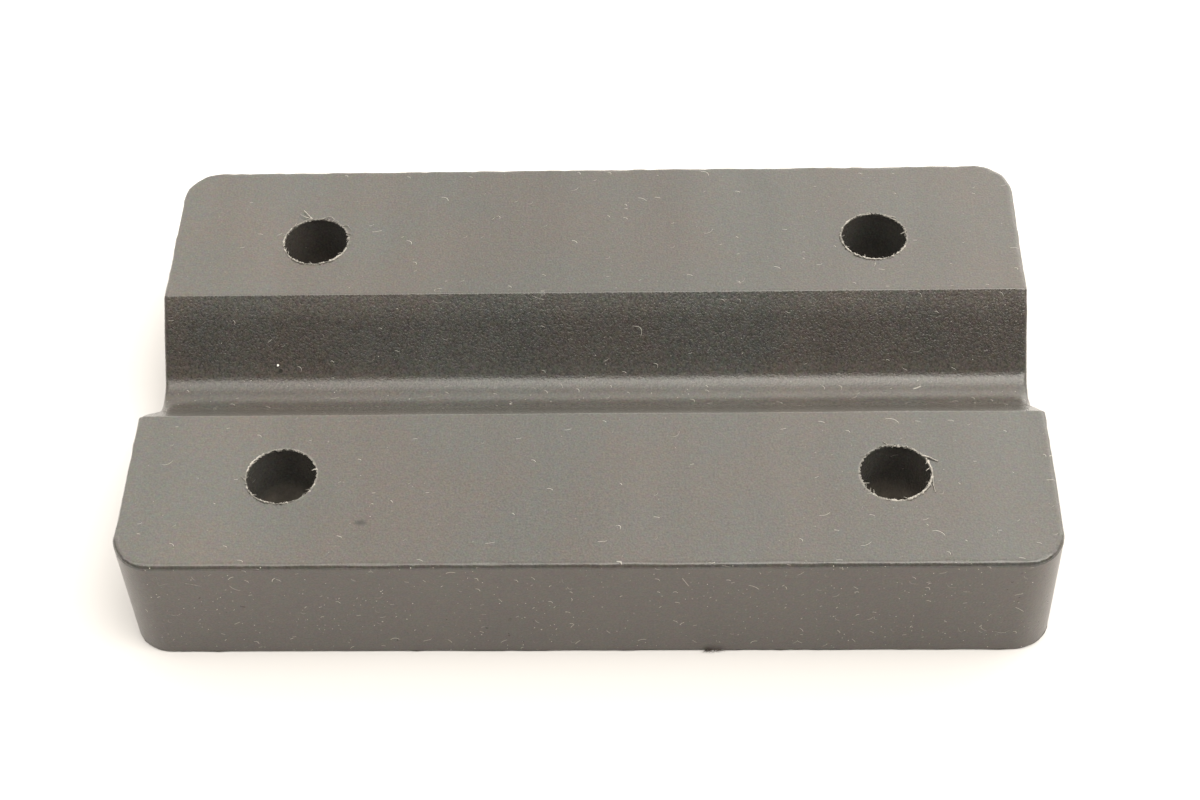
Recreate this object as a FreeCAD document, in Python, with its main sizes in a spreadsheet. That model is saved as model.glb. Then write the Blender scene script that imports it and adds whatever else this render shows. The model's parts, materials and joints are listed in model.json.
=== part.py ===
"""A mounting block: one slab of dark plastic that carries a round rail or tube.

The slab has rounded upright corners. A V-shaped groove with a rounded bottom runs along
the middle of its top face and cradles the tube. Two bolt holes on each side of the groove
go straight through the slab, for the legs of two U-bolts or for four plain bolts.

The block is a single piece, so the document holds a single body. Its frame: the origin is
the centre of the underside, +X runs along the groove, +Y runs across it and +Z is up.
All lengths are in millimetres and all angles in degrees.
"""

import FreeCAD
import Part
import Sketcher

import math
import os

# What each driving dimension is, as the cells of the sheet hold it.
DRIVING_SIZES = {
    "block_length": 127.0,  # along the groove
    "block_width": 77.4,  # across the groove
    "block_height": 19.2,  # underside to the two top lands
    "corner_radius": 5.6,  # the four upright corners
    "groove_width": 23.8,  # mouth of the groove, at the lands
    "groove_bottom_radius": 5.0,  # round at the root of the groove
    "flank_angle": 45.0,  # slope of each groove wall above the horizontal
    "bolt_spacing_long": 83.8,  # between holes, along the groove
    "bolt_spacing_across": 46.0,  # between holes, across the groove
    "bolt_hole_diameter": 9.7,  # clears a 3/8 in. bolt
    "top_edge_radius": 0.8,  # softening of the top's outer edges and the groove's two ends
    "mouth_edge_radius": 0.2,  # softening of the groove's two long edges
}
CUTTER_OVERRUN = 2.0  # how far the groove's cut runs past the block on every open side
START = 1  # numbers by which a sketch knows the points of a curve
END = 2
CENTRE = 3
EDGE_TOLERANCE = 1e-4


def make_size_sheet(doc):
    """Put the driving dimensions in a spreadsheet, one aliased cell each."""
    sheet = doc.addObject("Spreadsheet::Sheet", "sizes")
    for row, (alias, value) in enumerate(DRIVING_SIZES.items(), start=1):
        sheet.set(f"A{row}", alias)
        sheet.set(f"B{row}", str(value))
        sheet.setAlias(f"B{row}", alias)
    doc.recompute()
    return sheet


def origin_plane(body, role):
    """One of the body's own origin planes, such as XY_Plane."""
    return next(feature for feature in body.Origin.OriginFeatures if feature.Role == role)


def add_sketch(body, name, role):
    """An empty sketch on one of the body's origin planes."""
    sketch = body.newObject("Sketcher::SketchObject", name)
    sketch.AttachmentSupport = (origin_plane(body, role), [""])
    sketch.MapMode = "FlatFace"
    return sketch


def constrain(sketch, kind, *where, value=None, driven_by=None):
    """Add a constraint, and bind its value to an expression on the sheet if there is one."""
    arguments = [kind, *where] if value is None else [kind, *where, value]
    index = sketch.addConstraint(Sketcher.Constraint(*arguments))
    if driven_by:
        sketch.setExpression(f"Constraints[{index}]", driven_by)
    return index


def point(x, y):
    return FreeCAD.Vector(x, y, 0)


def add_polygon(sketch, corners):
    """Straight lines through the corners, closed, joined end to end. Returns their indices."""
    closed = [*corners, corners[0]]
    lines = [
        sketch.addGeometry(Part.LineSegment(point(*start), point(*end)), False)
        for start, end in zip(closed, closed[1:])
    ]
    for line, following in zip(lines, [*lines[1:], lines[0]]):
        constrain(sketch, "Coincident", line, END, following, START)
    return lines


def pad_slab(body, sheet):
    """The plain slab, centred on the origin and standing on it."""
    half_length = sheet.block_length / 2
    half_width = sheet.block_width / 2
    sketch = add_sketch(body, "slab_outline", "XY_Plane")
    bottom, right, top, left = add_polygon(
        sketch,
        [
            (-half_length, -half_width),
            (half_length, -half_width),
            (half_length, half_width),
            (-half_length, half_width),
        ],
    )
    for line in (bottom, top):
        constrain(sketch, "Horizontal", line)
    for line in (left, right):
        constrain(sketch, "Vertical", line)
    # The origin, point 1 of the horizontal axis -1, lies midway between opposite corners.
    constrain(sketch, "Symmetric", bottom, START, top, START, -1, START)
    constrain(
        sketch, "DistanceX", bottom, START, bottom, END,
        value=sheet.block_length, driven_by="sizes.block_length",
    )
    constrain(
        sketch, "DistanceY", right, START, right, END,
        value=sheet.block_width, driven_by="sizes.block_width",
    )
    slab = body.newObject("PartDesign::Pad", "slab")
    slab.Profile = sketch
    slab.setExpression("Length", "sizes.block_height")
    body.Document.recompute()
    return slab


def edge_names(feature, belongs):
    """Names of the feature's edges for which belongs(edge) is true."""
    return [
        f"Edge{number}"
        for number, edge in enumerate(feature.Shape.Edges, start=1)
        if belongs(edge)
    ]


def round_edges(body, feature, name, edges, radius_cell):
    """Round the named edges of a feature to the radius in a cell of the sheet."""
    fillet = body.newObject("PartDesign::Fillet", name)
    fillet.Base = (feature, edges)
    fillet.setExpression("Radius", f"sizes.{radius_cell}")
    body.Document.recompute()
    return fillet


def round_corners(body, slab):
    """The four upright corners."""

    def is_upright(edge):
        box = edge.BoundBox
        return box.XLength < EDGE_TOLERANCE and box.YLength < EDGE_TOLERANCE

    return round_edges(
        body, slab, "rounded_corners", edge_names(slab, is_upright), "corner_radius"
    )


def cut_groove(body, sheet):
    """The V-groove along X, its two flanks tangent to the round at its root."""
    half_mouth = sheet.groove_width / 2
    top = sheet.block_height
    slope = math.radians(sheet.flank_angle)
    radius = sheet.groove_bottom_radius
    round_half_width = radius * math.sin(slope)
    round_end_height = top - (half_mouth - round_half_width) * math.tan(slope)
    centre_height = round_end_height + radius * math.cos(slope)
    above = top + CUTTER_OVERRUN

    sketch = add_sketch(body, "groove_outline", "YZ_Plane")
    add = sketch.addGeometry
    near_flank = add(
        Part.LineSegment(point(-half_mouth, top), point(-round_half_width, round_end_height)), False
    )
    root = add(
        Part.ArcOfCircle(
            Part.Circle(point(0, centre_height), FreeCAD.Vector(0, 0, 1), radius),
            -math.pi / 2 - slope,
            -math.pi / 2 + slope,
        ),
        False,
    )
    far_flank = add(
        Part.LineSegment(point(round_half_width, round_end_height), point(half_mouth, top)), False
    )
    far_side = add(Part.LineSegment(point(half_mouth, top), point(half_mouth, above)), False)
    lid = add(Part.LineSegment(point(half_mouth, above), point(-half_mouth, above)), False)
    near_side = add(Part.LineSegment(point(-half_mouth, above), point(-half_mouth, top)), False)

    constrain(sketch, "Tangent", near_flank, END, root, START)
    constrain(sketch, "Tangent", root, END, far_flank, START)
    for line, following in (
        (far_flank, far_side),
        (far_side, lid),
        (lid, near_side),
        (near_side, near_flank),
    ):
        constrain(sketch, "Coincident", line, END, following, START)
    constrain(sketch, "Vertical", far_side)
    constrain(sketch, "Vertical", near_side)
    constrain(sketch, "Horizontal", lid)
    # The mouth and the root lie evenly on the sketch's vertical axis, geometry -2.
    constrain(sketch, "Symmetric", near_flank, START, far_flank, END, -2)
    constrain(sketch, "PointOnObject", root, CENTRE, -2)
    constrain(
        sketch, "DistanceX", near_flank, START, far_flank, END,
        value=sheet.groove_width, driven_by="sizes.groove_width",
    )
    constrain(
        sketch, "DistanceY", -1, START, near_flank, START,
        value=sheet.block_height, driven_by="sizes.block_height",
    )
    constrain(
        sketch, "Radius", root,
        value=radius, driven_by="sizes.groove_bottom_radius",
    )
    constrain(sketch, "Angle", far_flank, value=slope, driven_by="sizes.flank_angle * 1 deg")
    constrain(sketch, "DistanceY", far_side, START, far_side, END, value=CUTTER_OVERRUN)

    groove = body.newObject("PartDesign::Pocket", "groove")
    groove.Profile = sketch
    groove.SideType = "Symmetric"
    groove.setExpression("Length", f"sizes.block_length + {2 * CUTTER_OVERRUN}")
    body.Document.recompute()
    return groove


def soften_top_edges(body, groove, sheet):
    """A small round on every outer edge of the lands, and on the groove's two ends."""
    top = sheet.block_height
    half_length = sheet.block_length / 2
    half_mouth = sheet.groove_width / 2

    def is_outer(edge):
        box = edge.BoundBox
        on_the_lands = top - box.ZMin < EDGE_TOLERANCE
        along_the_mouth = abs(abs(box.YMax) - half_mouth) + box.YLength < EDGE_TOLERANCE
        on_an_end = box.XLength < EDGE_TOLERANCE and half_length - abs(box.XMin) < EDGE_TOLERANCE
        is_upright = on_an_end and box.YLength < EDGE_TOLERANCE
        ends_the_groove = on_an_end and not is_upright and box.ZMax > EDGE_TOLERANCE
        return (on_the_lands and not along_the_mouth) or ends_the_groove

    return round_edges(
        body, groove, "softened_top_edges", edge_names(groove, is_outer), "top_edge_radius"
    )


def soften_mouth(body, softened, sheet):
    """A fine round on the two long edges where the groove meets the lands."""
    top = sheet.block_height
    half_mouth = sheet.groove_width / 2

    def is_mouth(edge):
        box = edge.BoundBox
        at_the_top = top - box.ZMin < EDGE_TOLERANCE
        return at_the_top and abs(abs(box.YMax) - half_mouth) + box.YLength < EDGE_TOLERANCE

    return round_edges(
        body, softened, "softened_mouth", edge_names(softened, is_mouth), "mouth_edge_radius"
    )


def drill_bolt_holes(body, sheet):
    """Four plain through holes, one pair on each side of the groove."""
    sketch = add_sketch(body, "bolt_hole_centres", "XY_Plane")
    sketch.setExpression("AttachmentOffset.Base.z", "sizes.block_height")
    half_long = sheet.bolt_spacing_long / 2
    half_across = sheet.bolt_spacing_across / 2
    radius = sheet.bolt_hole_diameter / 2
    for along in (-1, 1):
        for across in (-1, 1):
            centre = point(along * half_long, across * half_across)
            circle = sketch.addGeometry(
                Part.Circle(centre, FreeCAD.Vector(0, 0, 1), radius), False
            )
            # A distance from the origin is signed by the order of its two points.
            origin_first = (-1, START, circle, CENTRE)
            centre_first = (circle, CENTRE, -1, START)
            x_points = origin_first if along > 0 else centre_first
            y_points = origin_first if across > 0 else centre_first
            constrain(
                sketch, "DistanceX", *x_points,
                value=half_long, driven_by="sizes.bolt_spacing_long / 2",
            )
            constrain(
                sketch, "DistanceY", *y_points,
                value=half_across, driven_by="sizes.bolt_spacing_across / 2",
            )
            constrain(
                sketch, "Diameter", circle,
                value=sheet.bolt_hole_diameter, driven_by="sizes.bolt_hole_diameter",
            )
    body.Document.recompute()

    holes = body.newObject("PartDesign::Hole", "bolt_holes")
    holes.Profile = sketch
    body.Document.recompute()
    holes.Threaded = False
    holes.setExpression("Diameter", "sizes.bolt_hole_diameter")
    holes.DepthType = "ThroughAll"
    holes.DrillPoint = "Flat"
    body.Document.recompute()
    return holes


def build_block(doc, sheet):
    """The block's body, feature by feature. Prints the volume that each feature leaves."""
    body = doc.addObject("PartDesign::Body", "block")
    slab = pad_slab(body, sheet)
    corners = round_corners(body, slab)
    groove = cut_groove(body, sheet)
    softened = soften_top_edges(body, groove, sheet)
    mouth = soften_mouth(body, softened, sheet)
    holes = drill_bolt_holes(body, sheet)
    body.Placement = FreeCAD.Placement()
    doc.recompute()
    features = (slab, corners, groove, softened, mouth, holes)
    for feature in features:
        print(f"{feature.Name:20s} {feature.Shape.Volume / 1000:9.3f} cm3")
    for earlier, later in zip(features, features[1:]):
        if later.Shape.Volume >= earlier.Shape.Volume:
            raise SystemExit(f"{later.Name} cut nothing away")
    return body


def check_document(doc, bodies):
    """Stop if any object failed to compute, or if a body's solid isn't sound."""
    for item in doc.Objects:
        if {"Invalid", "Error"} & set(item.State):
            raise SystemExit(f"{item.Name} failed: {item.State}")
    for body in bodies:
        shape = body.Shape
        if shape.isNull() or not shape.isValid() or len(shape.Solids) != 1:
            raise SystemExit(f"{body.Label} isn't one sound solid")


def export(bodies, folder="parts"):
    """One STEP file for each body, named after its label."""
    os.makedirs(folder, exist_ok=True)
    for body in bodies:
        body.Shape.exportStep(os.path.join(folder, f"{body.Label}.step"))
        box = body.Shape.optimalBoundingBox(False)
        print(f"{body.Label}: {box.XLength:.2f} x {box.YLength:.2f} x {box.ZLength:.2f} mm")


def main():
    doc = FreeCAD.newDocument("mounting_block")
    sheet = make_size_sheet(doc)
    bodies = [build_block(doc, sheet)]
    check_document(doc, bodies)
    export(bodies)


main()
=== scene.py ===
# %% [markdown]
# # A plastic mounting block
# The block is one slab of dark charcoal plastic. A V-shaped groove runs along its top and cradles
# a round rail, and four drilled holes take the bolts that hold the rail down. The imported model
# already has the right sizes, so it is loaded first and everything is measured from it.

# %% Load the fixed frame
import json
import math
import random

import bmesh
import bpy
from mathutils import Matrix, Vector


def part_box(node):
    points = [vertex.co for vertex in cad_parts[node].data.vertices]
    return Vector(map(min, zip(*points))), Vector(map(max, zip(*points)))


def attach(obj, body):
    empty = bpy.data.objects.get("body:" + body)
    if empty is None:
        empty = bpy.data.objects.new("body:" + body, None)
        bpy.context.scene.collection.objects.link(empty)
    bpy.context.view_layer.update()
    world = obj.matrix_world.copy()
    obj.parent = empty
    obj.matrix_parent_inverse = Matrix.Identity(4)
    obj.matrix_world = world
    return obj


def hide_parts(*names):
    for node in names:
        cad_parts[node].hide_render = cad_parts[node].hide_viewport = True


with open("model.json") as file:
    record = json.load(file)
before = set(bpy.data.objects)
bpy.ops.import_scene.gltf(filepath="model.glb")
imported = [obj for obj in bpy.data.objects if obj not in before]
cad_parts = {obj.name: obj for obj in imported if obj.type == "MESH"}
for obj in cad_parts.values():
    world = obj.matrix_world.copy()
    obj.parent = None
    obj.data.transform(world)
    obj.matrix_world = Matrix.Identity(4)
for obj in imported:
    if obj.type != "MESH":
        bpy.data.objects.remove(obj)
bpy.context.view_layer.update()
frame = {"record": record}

MM = 0.001

# %% [markdown]
# ## Sizes
# The outside comes from the CAD node's box, and the bolt holes from the mounts of its record. The
# rounds and the groove aren't in the record, so they are named here. The flanks slope at 45
# degrees, which makes the groove's depth, before its root is rounded, half its width at the mouth.

# %% Driving sizes
low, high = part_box("block")
length, width, height = high - low
top = high.z
mounts = {mount["name"]: mount for mount in frame["record"]["mounts"]}
hole_radius = mounts["bolts"]["dims"]["hole_r_mm"] * MM
holes = {
    name.removeprefix("bolt_hole_"): Vector((*mount["pos_m"][:2], top))
    for name, mount in mounts.items()
    if name.startswith("bolt_hole_")
}
corner_radius = 5.6 * MM
groove_half_width = 11.9 * MM
groove_root_radius = 5.0 * MM
edge_radius = 0.8 * MM
print(f"block {length / MM:.1f} x {width / MM:.1f} x {height / MM:.1f} mm, holes {list(holes)}")

# %% [markdown]
# ## Selecting like a modeller
# Edit-mode operators act on what is selected.


# %% Helpers for modelling
def start_fresh():
    """Nothing selected and nothing active, in object mode."""
    bpy.ops.object.select_all(action="DESELECT")
    bpy.context.view_layer.objects.active = None


def edit(mode="VERT"):
    bpy.ops.object.mode_set(mode="EDIT")
    bpy.ops.mesh.select_mode(type=mode)


def pick(kind, test):
    """Select the edit mesh's verts, edges or faces that pass the test. Returns how many."""
    mesh = bpy.context.object.data
    bm = bmesh.from_edit_mesh(mesh)
    bpy.ops.mesh.select_all(action="DESELECT")
    chosen = [element for element in getattr(bm, kind) if test(element)]
    for element in chosen:
        element.select = True
    bm.select_flush_mode()
    bmesh.update_edit_mesh(mesh)
    return len(chosen)


def done():
    bpy.ops.object.mode_set(mode="OBJECT")


def finish_modifier(piece, kind, **settings):
    """Add a modifier to the piece, set it up and apply it."""
    modifier = piece.modifiers.new(kind.lower(), kind)
    for name, value in settings.items():
        setattr(modifier, name, value)
    bpy.context.view_layer.objects.active = piece
    bpy.ops.object.modifier_apply(modifier=modifier.name)


# %% [markdown]
# ## The slab and its groove
# The real block is milled from plate, or moulded to look so. A cube is the natural start: it is
# sliced at the groove's two mouths and its middle, and the middle line is pulled down to a sharp V.
# Bevels then round the root and the four upright corners, as a cutter would leave them.

# %% Slab with a sharp V
start_fresh()
bpy.ops.mesh.primitive_cube_add(
    size=1, location=(0, 0, low.z + height / 2), scale=(length, width, height)
)
bpy.ops.object.transform_apply(location=True, rotation=False, scale=True)
slab = bpy.context.object
slab.name = "block_body"

edit("VERT")
for y in (-groove_half_width, 0, groove_half_width):
    bpy.ops.mesh.select_all(action="SELECT")
    bpy.ops.mesh.bisect(plane_co=(0, y, 0), plane_no=(0, 1, 0))
NEAR = 0.01 * MM
pick("verts", lambda v: abs(v.co.y) < NEAR and v.co.z > top - NEAR)
bpy.ops.transform.translate(value=(0, 0, -groove_half_width))
root_z = top - groove_half_width
print("verts after the V:", len(bmesh.from_edit_mesh(slab.data).verts))

# %% Round the root and the upright corners
ROOT_SEGMENTS = 14
CORNER_SEGMENTS = 28
bpy.ops.mesh.select_mode(type="EDGE")
pick("edges", lambda e: all(abs(v.co.y) < NEAR and abs(v.co.z - root_z) < NEAR for v in e.verts))
bpy.ops.mesh.bevel(offset=groove_root_radius, segments=ROOT_SEGMENTS, affect="EDGES")


def is_upright_corner(edge):
    first, second = (v.co for v in edge.verts)
    at_corner = abs(abs(first.x) - length / 2) < NEAR and abs(abs(first.y) - width / 2) < NEAR
    return at_corner and (first - second).xy.length < NEAR


pick("edges", is_upright_corner)
bpy.ops.mesh.bevel(offset=corner_radius, segments=CORNER_SEGMENTS, affect="EDGES")
done()
print("faces after rounding:", len(slab.data.polygons))

# %% [markdown]
# ## Edges that are not perfect
# No real edge is sharp or dead straight. A bevel softens the edges: fully round the top, a
# third as much at the foot, and less at the obtuse edges of the groove's mouth. The slab is then
# sliced about every millimetre, so that its edges have points to move, and a Displace modifier
# with a soft cloud texture pushes those points in and out by a few hundredths of a millimetre.

# %% Edge rounds
SHARP = math.radians(30)
ROUND_SEGMENTS = 7
ROUND_WEIGHTS = {"foot": 0.3, "mouth": 0.22, "top": 1.0}


def edge_kind(edge):
    """foot, mouth, top or None, for the edges that are to be softened."""
    if len(edge.link_faces) != 2 or edge.calc_face_angle() < SHARP:
        return None
    if all(v.co.z < low.z + NEAR for v in edge.verts):
        return "foot"
    along_groove = all(abs(abs(v.co.y) - groove_half_width) < NEAR for v in edge.verts)
    return "mouth" if along_groove else "top"


edit("EDGE")
for kind, weight in ROUND_WEIGHTS.items():
    found = pick("edges", lambda e: edge_kind(e) == kind)
    bpy.ops.transform.edge_bevelweight(value=weight)
    print(f"{kind} edges: {found}")
done()
finish_modifier(
    slab, "BEVEL", width=edge_radius, segments=ROUND_SEGMENTS, limit_method="WEIGHT",
    offset_type="OFFSET",
)
print("faces after the edge rounds:", len(slab.data.polygons))

# %% Slices
SLICE = 1.2 * MM
edit("EDGE")
for normal, size in ((Vector((1, 0, 0)), length), (Vector((0, 1, 0)), width)):
    count = round(size / SLICE)
    for step in range(1, count):
        bpy.ops.mesh.select_all(action="SELECT")
        bpy.ops.mesh.bisect(plane_co=normal * (step / count - 0.5) * size, plane_no=normal)
done()
print("faces after slicing:", len(slab.data.polygons))

# %% Waver of the surface
def cloud_texture(name, grain):
    """A soft cloud texture whose lumps are about grain across."""
    texture = bpy.data.textures.new(name, type="CLOUDS")
    texture.noise_scale = grain
    texture.noise_depth = 1
    return texture


def waver(piece, name, grain, strength, group=""):
    """Push the surface in and out along its normals by up to half the strength."""
    finish_modifier(
        piece, "DISPLACE", texture=cloud_texture(name, grain), texture_coords="LOCAL",
        strength=strength, mid_level=0.5, vertex_group=group,
    )


def name_group(piece, name, test):
    """A vertex group of the points that pass the test."""
    chosen = [v.index for v in piece.data.vertices if test(v)]
    piece.vertex_groups.new(name=name).add(chosen, 1.0, "REPLACE")
    return len(chosen)


FLAT = 0.995
CLEAR_OF_TABLE = 0.1 * MM


def on_a_round(vertex):
    """Whether the point lies on an outer edge round, where the surface turns."""
    up, sideways = abs(vertex.normal.z), vertex.normal.xy.length
    on_side = max(up, sideways) > FLAT
    in_groove = abs(vertex.co.y) < groove_half_width + edge_radius and abs(vertex.normal.x) < 0.1
    return not (on_side or in_groove)


off_the_foot = name_group(slab, "off_the_foot", lambda v: v.co.z > low.z + edge_radius)
rounds = name_group(
    slab, "rounds", lambda v: on_a_round(v) and v.co.z > low.z + CLEAR_OF_TABLE
)
waver(slab, "slow_waver", 14 * MM, 0.12 * MM, "off_the_foot")
waver(slab, "long_nicks", 3.0 * MM, 0.24 * MM, "rounds")
waver(slab, "short_nicks", 1.2 * MM, 0.16 * MM, "rounds")
print("points that waver:", off_the_foot, "points on the rounds:", rounds)

# %% [markdown]
# ## Drilling
# The holes are drilled after moulding. A sharp twist drill leaves a round wall, but soft plastic
# tears where the drill comes out. A plain cylinder would cut a perfect edge, so each drill is a
# cylinder whose last part, above the land, is roughened by a fine cloud texture. A Boolean
# modifier then cuts it from the slab, as the real drill does.

# %% Drill the four holes
DRILL_SEGMENTS = 168
DRILL_OVERRUN = 1.0 * MM
RING_DEPTHS = [depth * MM for depth in (0.35, 0.175, 0.035)]
TORN_DEPTH = 0.21 * MM


def make_drill(name, centre):
    """A cylinder with a ragged upper end, standing through the slab at the centre."""
    start_fresh()
    bpy.ops.mesh.primitive_cylinder_add(
        vertices=DRILL_SEGMENTS, radius=hole_radius, depth=height + 2 * DRILL_OVERRUN,
        location=(centre.x, centre.y, low.z + height / 2),
    )
    bpy.ops.object.transform_apply(location=True)
    drill = bpy.context.object
    drill.name = "drill_" + name
    edit()
    for depth in RING_DEPTHS:
        bpy.ops.mesh.select_all(action="SELECT")
        bpy.ops.mesh.bisect(plane_co=(0, 0, top - depth), plane_no=(0, 0, 1))
    done()
    name_group(drill, "torn", lambda v: v.co.z > top - TORN_DEPTH)
    waver(drill, "tear_" + name, 0.32 * MM, 0.75 * MM, "torn")
    waver(drill, "wander_" + name, 1.6 * MM, 0.30 * MM, "torn")
    return drill


for name, centre in holes.items():
    drill = make_drill(name, centre)
    finish_modifier(slab, "BOOLEAN", object=drill, operation="DIFFERENCE", solver="EXACT")
    bpy.data.objects.remove(drill)
print("faces after drilling:", len(slab.data.polygons))

# %% Clean and smooth the slab
MERGE_DISTANCE = 0.002 * MM
SMALLEST_EDGE = 0.001 * MM
SHARP_AFTER_ALL = math.radians(40)
start_fresh()
slab.select_set(True)
bpy.context.view_layer.objects.active = slab
edit()
bpy.ops.mesh.select_all(action="SELECT")
bpy.ops.mesh.remove_doubles(threshold=MERGE_DISTANCE)
bpy.ops.mesh.dissolve_degenerate(threshold=SMALLEST_EDGE)
done()
bpy.ops.object.shade_smooth_by_angle(angle=SHARP_AFTER_ALL)
finish_modifier(slab, "WEIGHTED_NORMAL", keep_sharp=True, weight=80)
print("triangles in the slab:", sum(len(face.vertices) - 2 for face in slab.data.polygons))

# %% [markdown]
# ## Torn lips
# Round each mouth stands a thin whitened lip, where the plastic was stretched before it tore. It is
# about a fifth of a millimetre wide and uneven. A thin torus of many segments has the right
# section, and two cloud textures make it swell, thin out and break. Each lip is tilted a little,
# so that it stands up on the side where the tear is thickest and sinks into the land opposite.

# %% Lips round the mouths
LIP_THICKNESS = 0.18 * MM
LIP_SINK = Vector((0, 0, -0.06)) * MM
LIP_TILT = 0.15 * MM / hole_radius
HIGH_SIDES = {  # the way from the hole's centre to where each lip stands highest
    "near_left": Vector((-0.6, -0.8, 0)),
    "far_left": Vector((-0.3, -0.95, 0)),
    "near_right": Vector((0.75, -0.65, 0)),
    "far_right": Vector((-0.6, -0.8, 0)),
}


def make_lip(name, centre):
    start_fresh()
    high_side = HIGH_SIDES[name]
    place = centre + LIP_SINK
    bpy.ops.mesh.primitive_torus_add(
        location=place, major_segments=300, minor_segments=10,
        rotation=(LIP_TILT * high_side.y, -LIP_TILT * high_side.x, 0),
        major_radius=hole_radius + LIP_THICKNESS / 2, minor_radius=LIP_THICKNESS / 2,
    )
    bpy.ops.object.transform_apply(location=True, rotation=True)
    lip = bpy.context.object
    lip.name = "torn_lip_" + name
    waver(lip, "lip_tear_" + name, 0.34 * MM, 0.42 * MM)
    waver(lip, "lip_swell_" + name, 1.5 * MM, 0.30 * MM)
    bpy.ops.object.shade_smooth()
    return lip


lips = {name: make_lip(name, centre) for name, centre in holes.items()}
print("lips:", [lip.name for lip in lips.values()])

# %% [markdown]
# ## Slivers and whiskers
# Some of the torn plastic hangs on as curled slivers and fine whiskers. They are threads, so each
# is drawn as a short curve with a round section that thins towards its tip, and turned into a
# mesh. The long slivers are listed one by one and the short whiskers placed by chance, with a fixed
# seed so that every run grows the same ones.

# %% A thread of plastic
def make_thread(points, thickness, tip=0.35):
    """A tapered thread along the points, as a mesh object with rounded section."""
    curve = bpy.data.curves.new("thread", "CURVE")
    curve.dimensions = "3D"
    curve.bevel_depth = thickness / 2
    curve.bevel_resolution = 1
    curve.resolution_u = 5
    curve.use_fill_caps = True
    spline = curve.splines.new("NURBS")
    spline.points.add(len(points) - 1)
    for number, (spot, place) in enumerate(zip(spline.points, points)):
        spot.co = (*place, 1)
        spot.radius = 1 - (1 - tip) * number / (len(points) - 1)
    spline.order_u = 3
    spline.use_endpoint_u = True
    thread = bpy.data.objects.new("thread", curve)
    bpy.context.collection.objects.link(thread)
    start_fresh()
    thread.select_set(True)
    bpy.context.view_layer.objects.active = thread
    bpy.ops.object.convert(target="MESH")
    return bpy.context.object


def join(threads, name):
    """Make the threads one piece with its origin at the world's."""
    start_fresh()
    for thread in threads:
        thread.select_set(True)
    bpy.context.view_layer.objects.active = threads[0]
    bpy.ops.object.join()
    piece = bpy.context.object
    piece.name = name
    bpy.ops.object.shade_smooth()
    return piece


# %% Slivers, in mm from each hole's centre and from the land
SLIVERS = {
    "far_left": [
        (0.24, [(-0.9, 4.7, 0.0), (-1.6, 5.3, 0.2), (-2.1, 6.0, 0.3), (-2.6, 6.6, 0.3)]),
        (0.18, [(-0.9, 4.7, 0.0), (-1.7, 5.0, 0.2), (-2.4, 5.1, 0.3), (-3.1, 5.8, 0.3)]),
        (0.16, [(-1.1, 4.7, 0.0), (-1.7, 4.7, 0.1), (-2.3, 4.4, 0.1)]),
        (0.13, [(0.3, 4.8, 0.0), (1.0, 5.1, 0.2), (1.9, 5.2, 0.2), (2.4, 4.4, 0.2),
                (3.1, 4.1, 0.1)]),
        (0.12, [(4.3, 1.9, 0.0), (4.8, 1.4, 0.1), (5.5, 1.3, 0.1)]),
        (0.12, [(3.6, 3.2, 0.0), (4.4, 3.5, 0.2), (4.7, 2.8, 0.2), (5.1, 2.3, 0.1)]),
    ],
    "far_right": [
        (0.22, [(4.9, 1.1, 0.0), (4.6, 0.8, 0.0), (4.0, 0.5, -0.1)]),
        (0.16, [(4.7, 0.9, 0.0), (4.7, 0.5, -0.1), (4.6, 0.1, -0.2)]),
        (0.18, [(2.2, 4.3, 0.0), (2.7, 3.9, 0.0), (3.5, 3.3, 0.0)]),
        (0.20, [(2.7, 4.1, 0.1), (3.3, 3.9, 0.2), (3.7, 3.6, 0.1)]),
        (0.14, [(-1.7, -4.7, 0.1), (-1.6, -4.3, 0.1), (-1.6, -3.9, 0.1)]),
        (0.12, [(-0.2, -5.5, 0.0), (-0.2, -6.0, 0.1), (-0.3, -6.4, 0.0)]),
    ],
    "near_left": [
        (0.26, [(4.8, 1.1, 0.0), (4.5, 1.3, 0.0), (4.1, 1.0, 0.0)]),
        (0.14, [(-4.8, -0.9, 0.0), (-5.2, -0.5, 0.2), (-5.5, -0.1, 0.2)]),
        (0.18, [(-3.7, -3.3, 0.1), (-3.3, -3.4, 0.1), (-3.0, -3.3, 0.0)]),
    ],
    "near_right": [
        (0.30, [(3.8, 3.0, 0.0), (4.7, 2.6, 0.2), (5.2, 2.2, 0.2), (5.9, 1.9, 0.1)]),
        (0.26, [(4.5, 1.8, 0.1), (4.9, 0.8, 0.2), (5.0, -0.8, 0.2), (4.9, -2.2, 0.2),
                (5.1, -3.5, 0.1)]),
        (0.24, [(4.9, 0.9, 0.0), (4.6, 0.7, 0.0), (4.2, 0.4, -0.1)]),
        (0.30, [(4.7, -1.6, 0.1), (4.2, -2.9, 0.2), (3.0, -3.9, 0.2), (1.6, -4.6, 0.1)]),
        (0.20, [(-4.6, -1.9, 0.0), (-4.1, -1.8, 0.0), (-3.6, -1.8, 0.0)]),
        (0.16, [(-0.7, 4.9, 0.0), (-1.0, 5.2, 0.1), (-1.4, 5.5, 0.1)]),
    ],
}
WHISKERS = {"far_left": 46, "far_right": 26, "near_left": 24, "near_right": 44}


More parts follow.
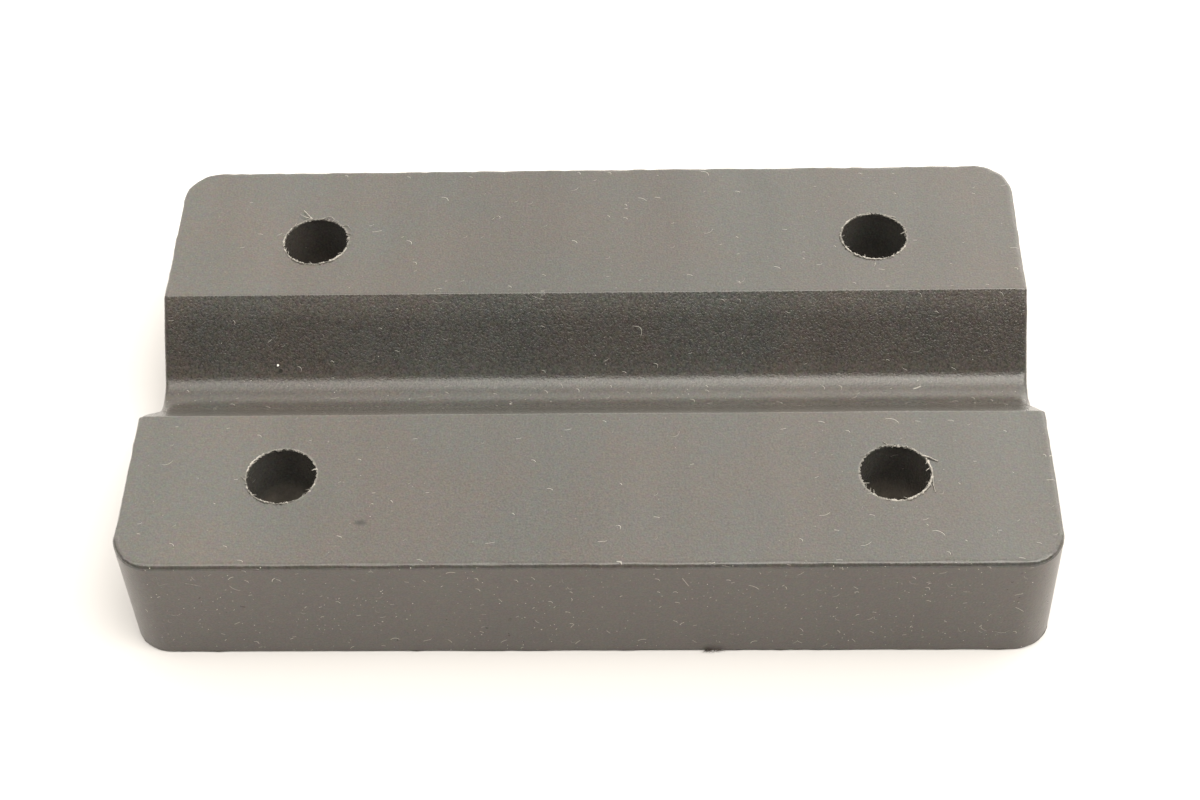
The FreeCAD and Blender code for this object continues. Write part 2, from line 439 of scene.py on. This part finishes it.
def make_whisker(chance, centre):
    """A short thread that starts on the mouth's edge and leans at random."""
    turn = chance.uniform(0, 2 * math.pi)
    outward = Vector((math.cos(turn), math.sin(turn), 0))
    along = Vector((-outward.y, outward.x, 0)) * chance.choice((-1, 1))
    reach = chance.uniform(0.25, 0.75) * MM
    lean = (outward * chance.uniform(-0.7, 0.5) + along * chance.uniform(0.3, 1.0)).normalized()
    root = centre + outward * (hole_radius + chance.uniform(-0.02, 0.06) * MM)
    rise = Vector((0, 0, chance.uniform(0.0, 0.25) * MM))
    middle = root + lean * reach * 0.5 + rise
    tip = middle + (lean + outward * chance.uniform(-0.6, 0.4)) * reach * 0.5
    return make_thread([root, middle, tip], chance.uniform(0.06, 0.13) * MM)


FIRST_SEED = 40
slivers = {}
for number, (name, centre) in enumerate(holes.items()):
    chance = random.Random(FIRST_SEED + number)
    threads = [
        make_thread([centre + Vector(point) * MM for point in points], thickness * MM)
        for thickness, points in SLIVERS[name]
    ]
    threads += [make_whisker(chance, centre) for _ in range(WHISKERS[name])]
    slivers[name] = join(threads, "slivers_" + name)
    print(slivers[name].name, "has", len(slivers[name].data.polygons), "faces")

# %% [markdown]
# ## A tuft of dark fluff
# A little dark fluff is caught under the front face, to the right of the middle. It is a bunch of
# fine curled fibres, so it is grown from the same threads.

# %% Tuft at the foot
TUFT_PLACE = Vector((17.1 * MM, -width / 2, low.z))
TUFT_FIBRES = 34
TUFT_SEED = 7
FLUFF_THICKNESS = 0.06 * MM
chance = random.Random(TUFT_SEED)
fibres_of_tuft = []
for _ in range(TUFT_FIBRES):
    step = Vector(
        (chance.uniform(-0.7, 0.7), chance.uniform(-0.5, -0.05), chance.uniform(0.0, 0.5))
    ) * MM
    start = TUFT_PLACE + Vector((chance.uniform(-1.1, 1.1), -0.12, chance.uniform(0.1, 0.3))) * MM
    bend = Vector((chance.uniform(-0.4, 0.4), 0, chance.uniform(0.0, 0.3))) * MM
    along_fibre = [start, start + step * 0.5 + bend, start + step]
    fibres_of_tuft.append(make_thread(along_fibre, FLUFF_THICKNESS))
tuft = join(fibres_of_tuft, "tuft_of_fluff")
print("tuft faces:", len(tuft.data.polygons))

# %% [markdown]
# ## The longer hairs
# Most lint is too small to model, but a few hairs are long enough to see: one curls at the groove's
# mouth, one lies on the far land, and several cling to the front face near its two ends. They are
# threads like the slivers, pressed against the surface they lie on.

# %% Hairs, in mm
LAND = top / MM + 0.02
FRONT = -width / 2 / MM - 0.02
HAIRS = [
    [(-22.2, 12.8, LAND), (-22.9, 12.8, LAND), (-23.4, 12.4, LAND), (-22.9, 12.0, LAND),
     (-22.3, 12.1, LAND)],
    [(-15.6, 27.2, LAND), (-15.2, 27.9, LAND), (-14.4, 28.0, LAND), (-14.1, 27.3, LAND)],
    [(54.5, -34.6, LAND), (54.8, -33.7, LAND), (54.5, -32.9, LAND), (54.9, -32.2, LAND)],
    [(-56.9, FRONT, 8.9), (-56.3, FRONT, 8.5), (-55.6, FRONT, 8.6), (-55.1, FRONT, 9.2)],
    [(-53.5, FRONT, 15.8), (-52.6, FRONT, 15.6), (-51.9, FRONT, 15.3), (-51.4, FRONT, 15.1)],
    [(-57.4, FRONT, 15.2), (-56.7, FRONT, 15.5), (-55.9, FRONT, 15.7)],
    [(-57.2, FRONT, 17.2), (-57.0, FRONT, 16.3), (-57.2, FRONT, 15.5)],
    [(50.2, FRONT, 5.2), (50.4, FRONT, 4.3), (51.1, FRONT, 4.1), (51.6, FRONT, 4.5)],
    [(55.2, FRONT, 4.3), (55.9, FRONT, 3.9), (56.7, FRONT, 4.0), (57.2, FRONT, 4.6)],
]
HAIR_THICKNESS = 0.07 * MM
hairs = join(
    [make_thread([Vector(point) * MM for point in points], HAIR_THICKNESS) for points in HAIRS],
    "lint_hairs",
)
print("hair faces:", len(hairs.data.polygons))

# %% [markdown]
# ## Writing a finish as arithmetic
# A finish is a web of shader nodes. Wiring them one by one is hard to read, so a socket is wrapped
# in a small class that understands + - * /, and 1 - mask works as it would on paper. Every other
# node comes from one method that takes its type, its settings and its inputs.


# %% Nodes as arithmetic
class Wire:
    """An output socket that arithmetic works on, adding a Math node each time."""

    def __init__(self, recipe, socket):
        self.recipe = recipe
        self.socket = socket

    def maths(self, operation, *others, clamp=False):
        inputs = dict(enumerate((self, *others)))
        return self.recipe.add("Math", {"operation": operation, "use_clamp": clamp}, inputs)

    def output(self, name):
        """Another output of the same node."""
        return Wire(self.recipe, self.socket.node.outputs[name])

    def __add__(self, other):
        return self.maths("ADD", other)

    def __sub__(self, other):
        return self.maths("SUBTRACT", other)

    def __rsub__(self, other):
        return self.maths("MULTIPLY", -1).maths("ADD", other)

    def __mul__(self, other):
        return self.maths("MULTIPLY", other)

    def __truediv__(self, other):
        return self.maths("DIVIDE", other)

    __radd__ = __add__
    __rmul__ = __mul__

    def size(self):
        return self.maths("ABSOLUTE")

    def rises(self, start, end):
        """0 up to start, 1 from end on, and a smooth step between. start may exceed end."""
        return self.recipe.add(
            "MapRange", {"interpolation_type": "SMOOTHSTEP"},
            {"Value": self, "From Min": start, "From Max": end},
        )


class Recipe:
    """A node tree, and the one method that adds a node to it."""

    def __init__(self, tree):
        self.tree = tree
        tree.nodes.clear()

    def add(self, kind, settings=None, inputs=None, output=0):
        node = self.tree.nodes.new("ShaderNode" + kind)
        for name, value in (settings or {}).items():
            setattr(node, name, value)
        for name, value in (inputs or {}).items():
            if isinstance(value, Wire):
                self.tree.links.new(value.socket, node.inputs[name])
            else:
                node.inputs[name].default_value = value
        return Wire(self, node.outputs[output] if node.outputs else None)

    def vector(self, operation, *values, output=0, **named):
        inputs = {**dict(enumerate(values)), **named}
        return self.add("VectorMath", {"operation": operation}, inputs, output)

    def mix(self, factor, plain, other):
        """From the plain colour at factor 0 to the other one at factor 1."""
        MIX_A, MIX_B, MIX_RESULT = 6, 7, 2
        return self.add(
            "Mix", {"data_type": "RGBA"}, {"Factor": factor, MIX_A: plain, MIX_B: other}, MIX_RESULT
        )

    def noise(self, place, grain, detail=2.0, roughness=0.5):
        """Cloudy noise from 0 to 1 whose lumps are about grain millimetres across."""
        inputs = {"Vector": place, "Scale": 1 / grain, "Detail": detail, "Roughness": roughness}
        return self.add("TexNoise", None, inputs)


def new_finish(name):
    """A new material, its recipe and the place of the shaded point in millimetres."""
    material = bpy.data.materials.new(name)
    material.use_nodes = True
    recipe = Recipe(material.node_tree)
    place = recipe.vector("SCALE", recipe.add("TexCoord", output="Object"), Scale=1 / MM)
    return material, recipe, place


def colour(red, green, blue):
    return (red, green, blue, 1.0)


# %% [markdown]
# ## Lint
# Dust, lint and short fibres cling to polyethylene. Each fibre could be a piece of its own, but
# there are hundreds and they have no thickness to speak of, so they are drawn in the finish. A
# Voronoi texture splits space into cells, each with a random colour. That colour gives the cell's
# fibre a direction in the surface, a bend, and a chance to be there at all.


# %% Fibres and specks for a finish
def cells(recipe, place, cell, shift):
    """The offset from the nearest cell's centre, and that cell's random vector from 0 to 1."""
    moved = recipe.vector("ADD", place, (shift, 2.3 * shift, 3.1 * shift))
    random_vector = recipe.add("TexVoronoi", None, {"Vector": moved, "Scale": 1 / cell}, "Color")
    offset = recipe.vector("SUBTRACT", moved, random_vector.output("Position"))
    return offset, random_vector


def fibres(recipe, place, normal, cell, half_length, half_width, share, shift):
    """A mask of short fibres, some nearly straight, some bent. share of the cells have one."""
    offset, random_vector = cells(recipe, place, cell, shift)
    chance = recipe.add("SeparateXYZ", None, {0: random_vector})
    centred = recipe.vector("SUBTRACT", random_vector, (0.5, 0.5, 0.5))
    in_surface = recipe.vector("SUBTRACT", centred, recipe.vector("PROJECT", centred, normal))
    along_axis = recipe.vector("NORMALIZE", in_surface)
    across_axis = recipe.vector("CROSS_PRODUCT", normal, along_axis)
    along = recipe.vector("DOT_PRODUCT", offset, along_axis, output="Value")
    across = recipe.vector("DOT_PRODUCT", offset, across_axis, output="Value")
    bend = (chance.output("Y") - 0.5) * (2.0 / half_length)
    off_line = (across - bend * along * along).size()
    reach = (0.35 + 0.65 * chance.output("Z")) * half_length
    on_line = off_line.rises(half_width, 0.3 * half_width)
    on_line = on_line * (along.size() / reach).rises(1.0, 0.75)
    return on_line * chance.maths("LESS_THAN", share) * (0.2 + 0.8 * chance.output("Y"))


def specks(recipe, place, cell, radius, share, shift):
    """A mask of small round specks of dust, some fainter than others."""
    offset, random_vector = cells(recipe, place, cell, shift)
    chance = recipe.add("SeparateXYZ", None, {0: random_vector})
    own_radius = radius * (0.4 + 0.6 * chance.output("Y"))
    distance = recipe.vector("LENGTH", offset, output="Value") / own_radius
    brightness = 0.2 + 0.8 * chance.output("Z")
    return distance.rises(1.0, 0.4) * chance.maths("LESS_THAN", share) * brightness


def spot(recipe, place, centre, radius, soft=0.6, stretch=(1, 1, 1)):
    """A mask that is 1 at the centre and fades to 0 at the radius, all in millimetres."""
    offset = recipe.vector("MULTIPLY", recipe.vector("SUBTRACT", place, centre), stretch)
    return recipe.vector("LENGTH", offset, output="Value").rises(radius, (1 - soft) * radius)


# %% [markdown]
# ## Where a point lies on the block
# The finish differs from area to area: the flanks carry painted shade and are grainier than the
# lands, the upright faces and the lands' ends carry painted light, lint gathers in the groove's
# root, and the holes have pale edges. Masks say where a point is, 1 inside an area and 0 outside.
# They are worked out once, from its place and the way its surface faces.


# %% Masks for the block's areas
class Areas:
    """Masks of the block's areas, and the shaded point's three measures in millimetres."""

    def __init__(self, recipe, place):
        self.normal = recipe.add("NewGeometry", output="Normal")
        axes = recipe.add("SeparateXYZ", None, {0: place})
        self.x, self.y, self.z = axes, axes.output("Y"), axes.output("Z")
        facing = recipe.add("SeparateXYZ", None, {0: self.normal})
        along, up = facing.size(), facing.output("Z")
        across = self.y.size()
        mouth = groove_half_width / MM
        foot = groove_root_radius / MM * math.sin(math.pi / 4)
        front = -width / 2 / MM

        # The absolute place folds the four holes onto one.
        hole = holes["far_right"] / MM
        from_hole = recipe.vector("SUBTRACT", recipe.vector("ABSOLUTE", place), (hole.x, hole.y, 0))
        level = recipe.vector("MULTIPLY", from_hole, (1, 1, 0))
        self.from_edge = recipe.vector("LENGTH", level, output="Value") - hole_radius / MM

        self.in_groove = across.rises(mouth, mouth - 0.2) * along.rises(0.5, 0.3)
        self.on_flank = self.in_groove * across.rises(foot - 3, foot - 1)
        self.in_root = self.in_groove * across.rises(3.4, 2.6)
        self.on_land = up.rises(0.8, 0.95) * across.rises(mouth - 0.1, mouth)
        self.upright = up.rises(0.3, 0.1) * self.from_edge.rises(0.2, 0.6)
        self.on_front = self.y.rises(front + 0.7, front + 0.3)


# %% [markdown]
# ## The plastic
# The block is charcoal polyethylene: matt with a soft sheen, never one flat tone. Its skin has a
# fine grain, broad faint bands across its length where it cooled unevenly, and a warm or cool cast
# that drifts. Grain, bands and cast are noise textures of different sizes, added up to one tone
# that scales a dark colour. Painted shade darkens the groove's flanks, and painted light makes the
# upright faces paler and warmer and the lands paler towards their ends.

# %% Tone of the plastic, with painted shade and light
PLASTIC_COOL = colour(0.0580, 0.0570, 0.0525)
PLASTIC_WARM = colour(0.0625, 0.0555, 0.0495)
BAND_SHAPE = (1, 0.12, 0.4)
FLANK_PAINTED_SHADE = 0.28
LESS_PAINTED_SHADE_UNDER_MOUTH = 0.36
LESS_PAINTED_SHADE_AT_FOOT = 0.14
UPRIGHT_PAINTED_LIGHT = 0.50


def plastic_colour_and_painted_light(recipe, place, areas, grain, peel, drift):
    """The colour of the plastic before any dirt or mark, with painted shade on the flanks and
    painted light on the upright faces and the lands' ends.
    """
    bands = recipe.noise(recipe.vector("MULTIPLY", place, BAND_SHAPE), 9, 3.0)
    motley = recipe.noise(place, 0.7, 2.0).output("Color")
    # Painted light: the upright faces take the warm colour, standing in for warm light thrown on
    # them by the table.
    warm = drift.rises(0.35, 0.65).maths("MAXIMUM", areas.upright)
    dark = recipe.mix(warm, PLASTIC_COOL, PLASTIC_WARM)
    motley = recipe.vector("MULTIPLY_ADD", motley, (0.4,) * 3, (0.8,) * 3)
    dark = recipe.vector("MULTIPLY", dark, motley)

    # Painted glints: the flanks' grain is drawn with more contrast, standing in for light catching
    # their relief.
    grain_contrast = 1.2 + 0.8 * areas.on_flank
    tone = 1 + (bands - 0.5) * 0.30 + (grain - 0.5) * grain_contrast + (peel - 0.5) * 0.12
    # Painted light: the lands are painted paler towards their ends, most at the left, standing in
    # for light on them.
    painted_light_at_ends = 0.36 * (areas.x * -1).rises(12, 60) + 0.08 * areas.x.rises(30, 60)
    # Painted light: the upright faces are painted paler, standing in for the light thrown on them
    # by the table.
    tone = tone + painted_light_at_ends * areas.on_land + UPRIGHT_PAINTED_LIGHT * areas.upright
    # Painted shade: the groove's flanks are painted darker, less so just under the mouth and
    # towards the root.
    under_mouth, at_foot = areas.z.rises(15.8, 18.6), areas.z.rises(12.5, 11)
    painted_flank_shade = FLANK_PAINTED_SHADE - LESS_PAINTED_SHADE_UNDER_MOUTH * under_mouth - LESS_PAINTED_SHADE_AT_FOOT * at_foot
    return recipe.vector("SCALE", dark, Scale=tone * (1 - areas.on_flank * painted_flank_shade))


print("clean plastic:", PLASTIC_COOL[:3], "to", PLASTIC_WARM[:3])

# %% [markdown]
# ## Lint and dust on the plastic
# The fibres and specks are now spread over the block. There are more towards the right, on the
# front face and in the root, and the near half of the groove is greyed a little towards the lint
# colour.

# %% Lint and dust
LINT = colour(0.34, 0.325, 0.29)
LINT_PAINTED_PALER_FOR_SHADE = colour(0.62, 0.57, 0.50)
NEAR_GROOVE_GREYING = 0.05


def add_lint(recipe, place, areas, base):
    """The base colour under lint and dust, and the mask of the fibres alone."""
    dusty_side = 0.5 + 0.5 * areas.x.rises(5, 50)
    share = 0.10 + 0.16 * dusty_side + 0.42 * areas.on_front + 0.35 * areas.in_root
    lint = fibres(recipe, place, areas.normal, 5.0, 1.1, 0.05, share * 0.5, 3.0)
    short = fibres(recipe, place, areas.normal, 2.4, 0.5, 0.045, share * 0.5, 17.0)
    lint = lint.maths("MAXIMUM", short)
    dust = specks(recipe, place, 3.0, 0.20, share * 0.4, 31.0)
    dust = dust.maths("MAXIMUM", specks(recipe, place, 0.8, 0.11, share * 1.3, 47.0))
    # The near half of the groove is greyed a little towards the lint colour.
    dust = dust.maths("MAXIMUM", areas.in_groove * areas.y.rises(-1.5, -3.5) * NEAR_GROOVE_GREYING)
    # Painted light: lint and dust on the front face are painted paler, to make up for the shade
    # that face lies in.
    lint_colour = recipe.mix(areas.on_front, LINT, LINT_PAINTED_PALER_FOR_SHADE)
    return recipe.mix(lint.maths("MAXIMUM", dust), base, lint_colour), lint


print("thin film of dust:", NEAR_GROOVE_GREYING)

# %% [markdown]
# ## Marks
# Use has left its marks: a pale stretched ring round each hole, one greasy smudge on the near
# land, and a chip and two white flecks in the groove. Deep in the holes the walls carry painted
# light, a paler colour that stands in for light reaching down into them. Each is a mask that mixes
# its own colour over what lies beneath.

# %% Marks on the plastic
STRETCHED = colour(0.30, 0.28, 0.25)
PAINTED_LIGHT_DEEP_IN_HOLES = colour(0.36, 0.31, 0.25)
GREASE = colour(0.016, 0.016, 0.014)
FLECK = colour(0.80, 0.78, 0.72)
SMUDGE_PLACE = (-30.3, -31.2, 19.2)
CHIP_PLACE = (-46.2, 3.9, 11.2)
FLECK_PLACES = {0.42: (-12.0, -1.6, 9.3), 0.2: (-46.6, 4.5, 11.8)}  # by radius


def add_marks(recipe, place, areas, base):
    """The base colour under rings, painted light deep in the holes, smudge, chip and flecks."""
    land = top / MM
    ring = areas.from_edge.rises(0.30, 0.05) * areas.from_edge.rises(-0.35, -0.1)
    ring = ring * areas.z.rises(land - 0.5, land - 0.1)
    base = recipe.mix(ring * (0.5 * recipe.noise(place, 0.5)), base, STRETCHED)

    # Painted light: deep in the holes the walls are painted paler, most in the near holes, standing
    # in for light reaching down into them.
    deep = areas.from_edge.rises(0.15, 0.05) * areas.z.rises(land - 6, land - 10.5)
    painted_light_in_holes = deep * recipe.noise(place, 2.5) * (0.25 + 0.45 * areas.y.rises(5, -5))
    base = recipe.mix(painted_light_in_holes, base, PAINTED_LIGHT_DEEP_IN_HOLES)

    smudge = spot(recipe, place, SMUDGE_PLACE, 1.0, 0.9, (0.8, 1.3, 0.5))
    chip = spot(recipe, place, CHIP_PLACE, 0.38, 0.4)
    base = recipe.mix((smudge * 0.75).maths("MAXIMUM", chip * 0.8), base, GREASE)
    large, small = FLECK_PLACES
    fleck = spot(recipe, place, FLECK_PLACES[large], large, 0.5)
    fleck = fleck.maths("MAXIMUM", spot(recipe, place, FLECK_PLACES[small], small, 0.4))
    return recipe.mix(fleck, base, FLECK)


print("marks placed by hand:", 2 + len(FLECK_PLACES))

# %% [markdown]
# ## The finished plastic
# A Principled shader with a dark base and a fairly low roughness gives the sheen, and a Bump node
# the relief of grain, orange peel and fibres. Upright faces are a little rougher than the lands.

# %% Charcoal plastic
RELIEF_HEIGHT = 0.03 * MM
PLASTIC_IOR = 1.5


def make_plastic():
    material, recipe, place = new_finish("charcoal_plastic")
    areas = Areas(recipe, place)
    grain = recipe.noise(place, 0.30, 2.0, 0.6)
    peel = recipe.noise(place, 1.1, 2.0)
    drift = recipe.noise(place, 17, 2.0)
    base = plastic_colour_and_painted_light(recipe, place, areas, grain, peel, drift)
    base, lint = add_lint(recipe, place, areas, base)
    base = add_marks(recipe, place, areas, base)

    roughness = 0.18 + 0.12 * areas.upright + (peel - 0.5) * 0.08 + (drift - 0.5) * 0.06
    roughness = roughness + lint * 0.4
    coarse = 0.9 + 1.2 * areas.on_flank * areas.z.rises(10.2, 12.5)
    relief = grain * coarse + peel * 0.4 + lint * 0.5
    bump = recipe.add("Bump", None, {"Height": relief, "Strength": 1.0, "Distance": RELIEF_HEIGHT})
    shader = recipe.add(
        "BsdfPrincipled", None,
        {"Base Color": base, "Roughness": roughness, "Normal": bump, "IOR": PLASTIC_IOR},
    )
    recipe.add("OutputMaterial", None, {"Surface": shader})
    return material


plastic = make_plastic()
print("plastic nodes:", len(plastic.node_tree.nodes))

# %% [markdown]
# ## Torn plastic
# Where it is stretched, the same plastic goes pale, because it fills with tiny voids. The lips,
# slivers and hairs share one finish that wanders between pale and dark along the tear.

# %% Whitened plastic
TORN_DARK = colour(0.09, 0.084, 0.074)
TORN_PALE = colour(0.33, 0.31, 0.28)


def make_torn():
    material, recipe, place = new_finish("torn_plastic")
    streaks = recipe.noise(place, 0.5, 3.0, 0.6)
    patches = recipe.noise(place, 2.6, 1.0)
    pale = (streaks * 0.6 + patches * 0.4).rises(0.38, 0.60)
    base = recipe.mix(pale, TORN_DARK, TORN_PALE)
    bump = recipe.add("Bump", None, {"Height": streaks, "Strength": 0.6, "Distance": RELIEF_HEIGHT})
    roughness = 0.5 + streaks * 0.2
    shader = recipe.add(
        "BsdfPrincipled", None,
        {"Base Color": base, "Roughness": roughness, "Normal": bump, "IOR": PLASTIC_IOR},
    )
    recipe.add("OutputMaterial", None, {"Surface": shader})
    return material


torn = make_torn()
print("torn plastic nodes:", len(torn.node_tree.nodes))

# %% [markdown]
# ## Fluff
# The tuft is dark and quite matt, like dust from a floor. One noise texture makes it brown in one
# place and nearly black in another, so that its fibres don't merge into a blot.

# %% Dark fluff
FLUFF_DARK = colour(0.015, 0.012, 0.010)
FLUFF_BROWN = colour(0.09, 0.065, 0.05)
fluff, recipe, place = new_finish("dark_fluff")
brown = recipe.mix(recipe.noise(place, 0.6), FLUFF_DARK, FLUFF_BROWN)
shader = recipe.add("BsdfPrincipled", None, {"Base Color": brown, "Roughness": 0.8})
recipe.add("OutputMaterial", None, {"Surface": shader})
print("fluff nodes:", len(fluff.node_tree.nodes))

# %% [markdown]
# ## Putting the pieces on the frame
# The detailed slab stands for the CAD node, which stays in the simulation for its collision and
# mass. Lips, slivers, hairs and tuft ride on the same body.

# %% Pieces, finishes and bodies
def dress(piece, material):
    piece.data.materials.clear()
    piece.data.materials.append(material)
    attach(piece, "root")


dress(slab, plastic)
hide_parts("block")
for name in holes:
    dress(lips[name], torn)
    dress(slivers[name], torn)
dress(tuft, fluff)
dress(hairs, torn)
print("dressed pieces:", 3 + len(lips) + len(slivers))

# %% [markdown]
# ## A pale table
# The block lies on a pale table, lit until it is nearly pure white. Close to the block the table is
# painted a little greyer, a painted shade that stands in for a soft shadow over it, and further out
# it is whiter. The block's front face leans on the table for most of its light.

# %% Table
TABLE_SIZE = 4.0
TABLE_GAP = 0.06 * MM
TABLE_IN_PAINTED_SHADE = colour(0.59, 0.58, 0.58)
FAR_TABLE = colour(0.84, 0.83, 0.82)
TABLE_CLOUDS = colour(0.60, 0.58, 0.55)
start_fresh()
bpy.ops.mesh.primitive_plane_add(size=TABLE_SIZE, location=(0, 0, low.z - TABLE_GAP))
table = bpy.context.object
table.name = "table"
table_material, recipe, place = new_finish("pale_table")
# Painted shade: the table's colour is greyer near the block and whiter further out.
away = recipe.vector("LENGTH", place, output="Value").rises(95, 190)
pale = recipe.mix(away, TABLE_IN_PAINTED_SHADE, FAR_TABLE)
pale = recipe.mix(recipe.noise(place, 60) * 0.1, pale, TABLE_CLOUDS)
shader = recipe.add("BsdfPrincipled", None, {"Base Color": pale, "Roughness": 0.9})
recipe.add("OutputMaterial", None, {"Surface": shader})
table.data.materials.append(table_material)
print("table:", TABLE_SIZE, "m square")

# %% [markdown]
# ## One soft light overhead
# A wide soft light hangs over the block, from just in front of it to well behind, and the room
# towards the camera is dark. The groove's far wall leans towards the camera, so it mirrors the
# dark room, while the lands mirror the light. Where the wall curves into the root, the light's
# front edge appears as a bright band. The world's colour is that light: its strength depends on
# how high a direction stands above the near horizon, grows a little to the right, and falls off
# far out to either side. The camera itself sees plain white past the table's edge.

# %% World light
LIGHT_TINT = colour(1.18, 1.13, 1.04)
BRIGHTEST = 5.2
STRENGTH_BY_DEGREES = [  # degrees above the near horizon, up to 180 at the far one
    (0, 0.1), (56, 0.04), (58, 0.5), (61, 3.4), (65, 5.2), (76, 5.1), (86, 4.6),
    (97, 2.5), (106, 1.7), (118, 2.1), (128, 2.5), (134, 2.1), (140, 2.1), (147, 2.4), (160, 2.4),
    (180, 2.0),
]
MORE_ON_THE_RIGHT = 1.7
REACH_OF_GRADIENT = 0.2
SIDES_START, SIDES_END = 0.70, 1.0
DIM_SIDES = 0.8
WHITE = colour(1, 1, 1)
world = bpy.data.worlds.new("soft_light")
bpy.context.scene.world = world
world.use_nodes = True
recipe = Recipe(world.node_tree)
direction = recipe.add("SeparateXYZ", None, {0: recipe.add("TexCoord", output="Generated")})
elevation = direction.output("Z").maths("ARCTAN2", direction.output("Y") * -1)
by_elevation = recipe.add("ValToRGB", None, {0: elevation / math.pi})
stops = by_elevation.socket.node.color_ramp.elements
while len(stops) < len(STRENGTH_BY_DEGREES):
    stops.new(0.5)
for stop, (degrees, strength) in zip(stops, STRENGTH_BY_DEGREES):
    stop.position = degrees / 180
    stop.color = colour(*[strength / BRIGHTEST] * 3)
sideways = direction.maths("MAXIMUM", -REACH_OF_GRADIENT).maths("MINIMUM", REACH_OF_GRADIENT)
within_light = 1 - direction.size().rises(SIDES_START, SIDES_END) * DIM_SIDES
strength_sideways = (1 + sideways * MORE_ON_THE_RIGHT) * within_light
tinted = recipe.vector("MULTIPLY", by_elevation, LIGHT_TINT[:3])
lit = recipe.vector("SCALE", tinted, Scale=strength_sideways * BRIGHTEST)
seen = recipe.add("LightPath", output="Is Camera Ray")
sky = recipe.mix(seen, lit, WHITE)
background = recipe.add("Background", None, {"Color": sky, "Strength": 1.0})
recipe.add("OutputWorld", None, {"Surface": background})
bpy.context.scene.view_settings.view_transform = "Standard"
print("light stops:", len(stops))

# %% [markdown]
# ## Camera
# The camera stands close, 0.33 m from the block, and looks down on it at 48 degrees, turned and
# rolled by a few degrees. The angles are turned in the order of a tripod: pan, tilt, then roll.

# %% Camera
CAMERA_PLACE = Vector((12.95, -216.7, 251.7)) * MM
PAN = math.radians(3.15)
TILT_DOWN = math.radians(48.24)
ROLL = math.radians(-2.755)
camera_data = bpy.data.cameras.new("camera")
camera_data.lens = 66.6
camera_data.clip_start = 0.01
camera = bpy.data.objects.new("camera", camera_data)
bpy.context.collection.objects.link(camera)
turn = Matrix.Rotation(PAN, 4, "Z") @ Matrix.Rotation(math.pi / 2 - TILT_DOWN, 4, "X")
camera.matrix_world = Matrix.Translation(CAMERA_PLACE) @ turn @ Matrix.Rotation(ROLL, 4, "Z")
bpy.context.scene.camera = camera
print("camera to the middle of the underside:", round(CAMERA_PLACE.length, 3), "m")
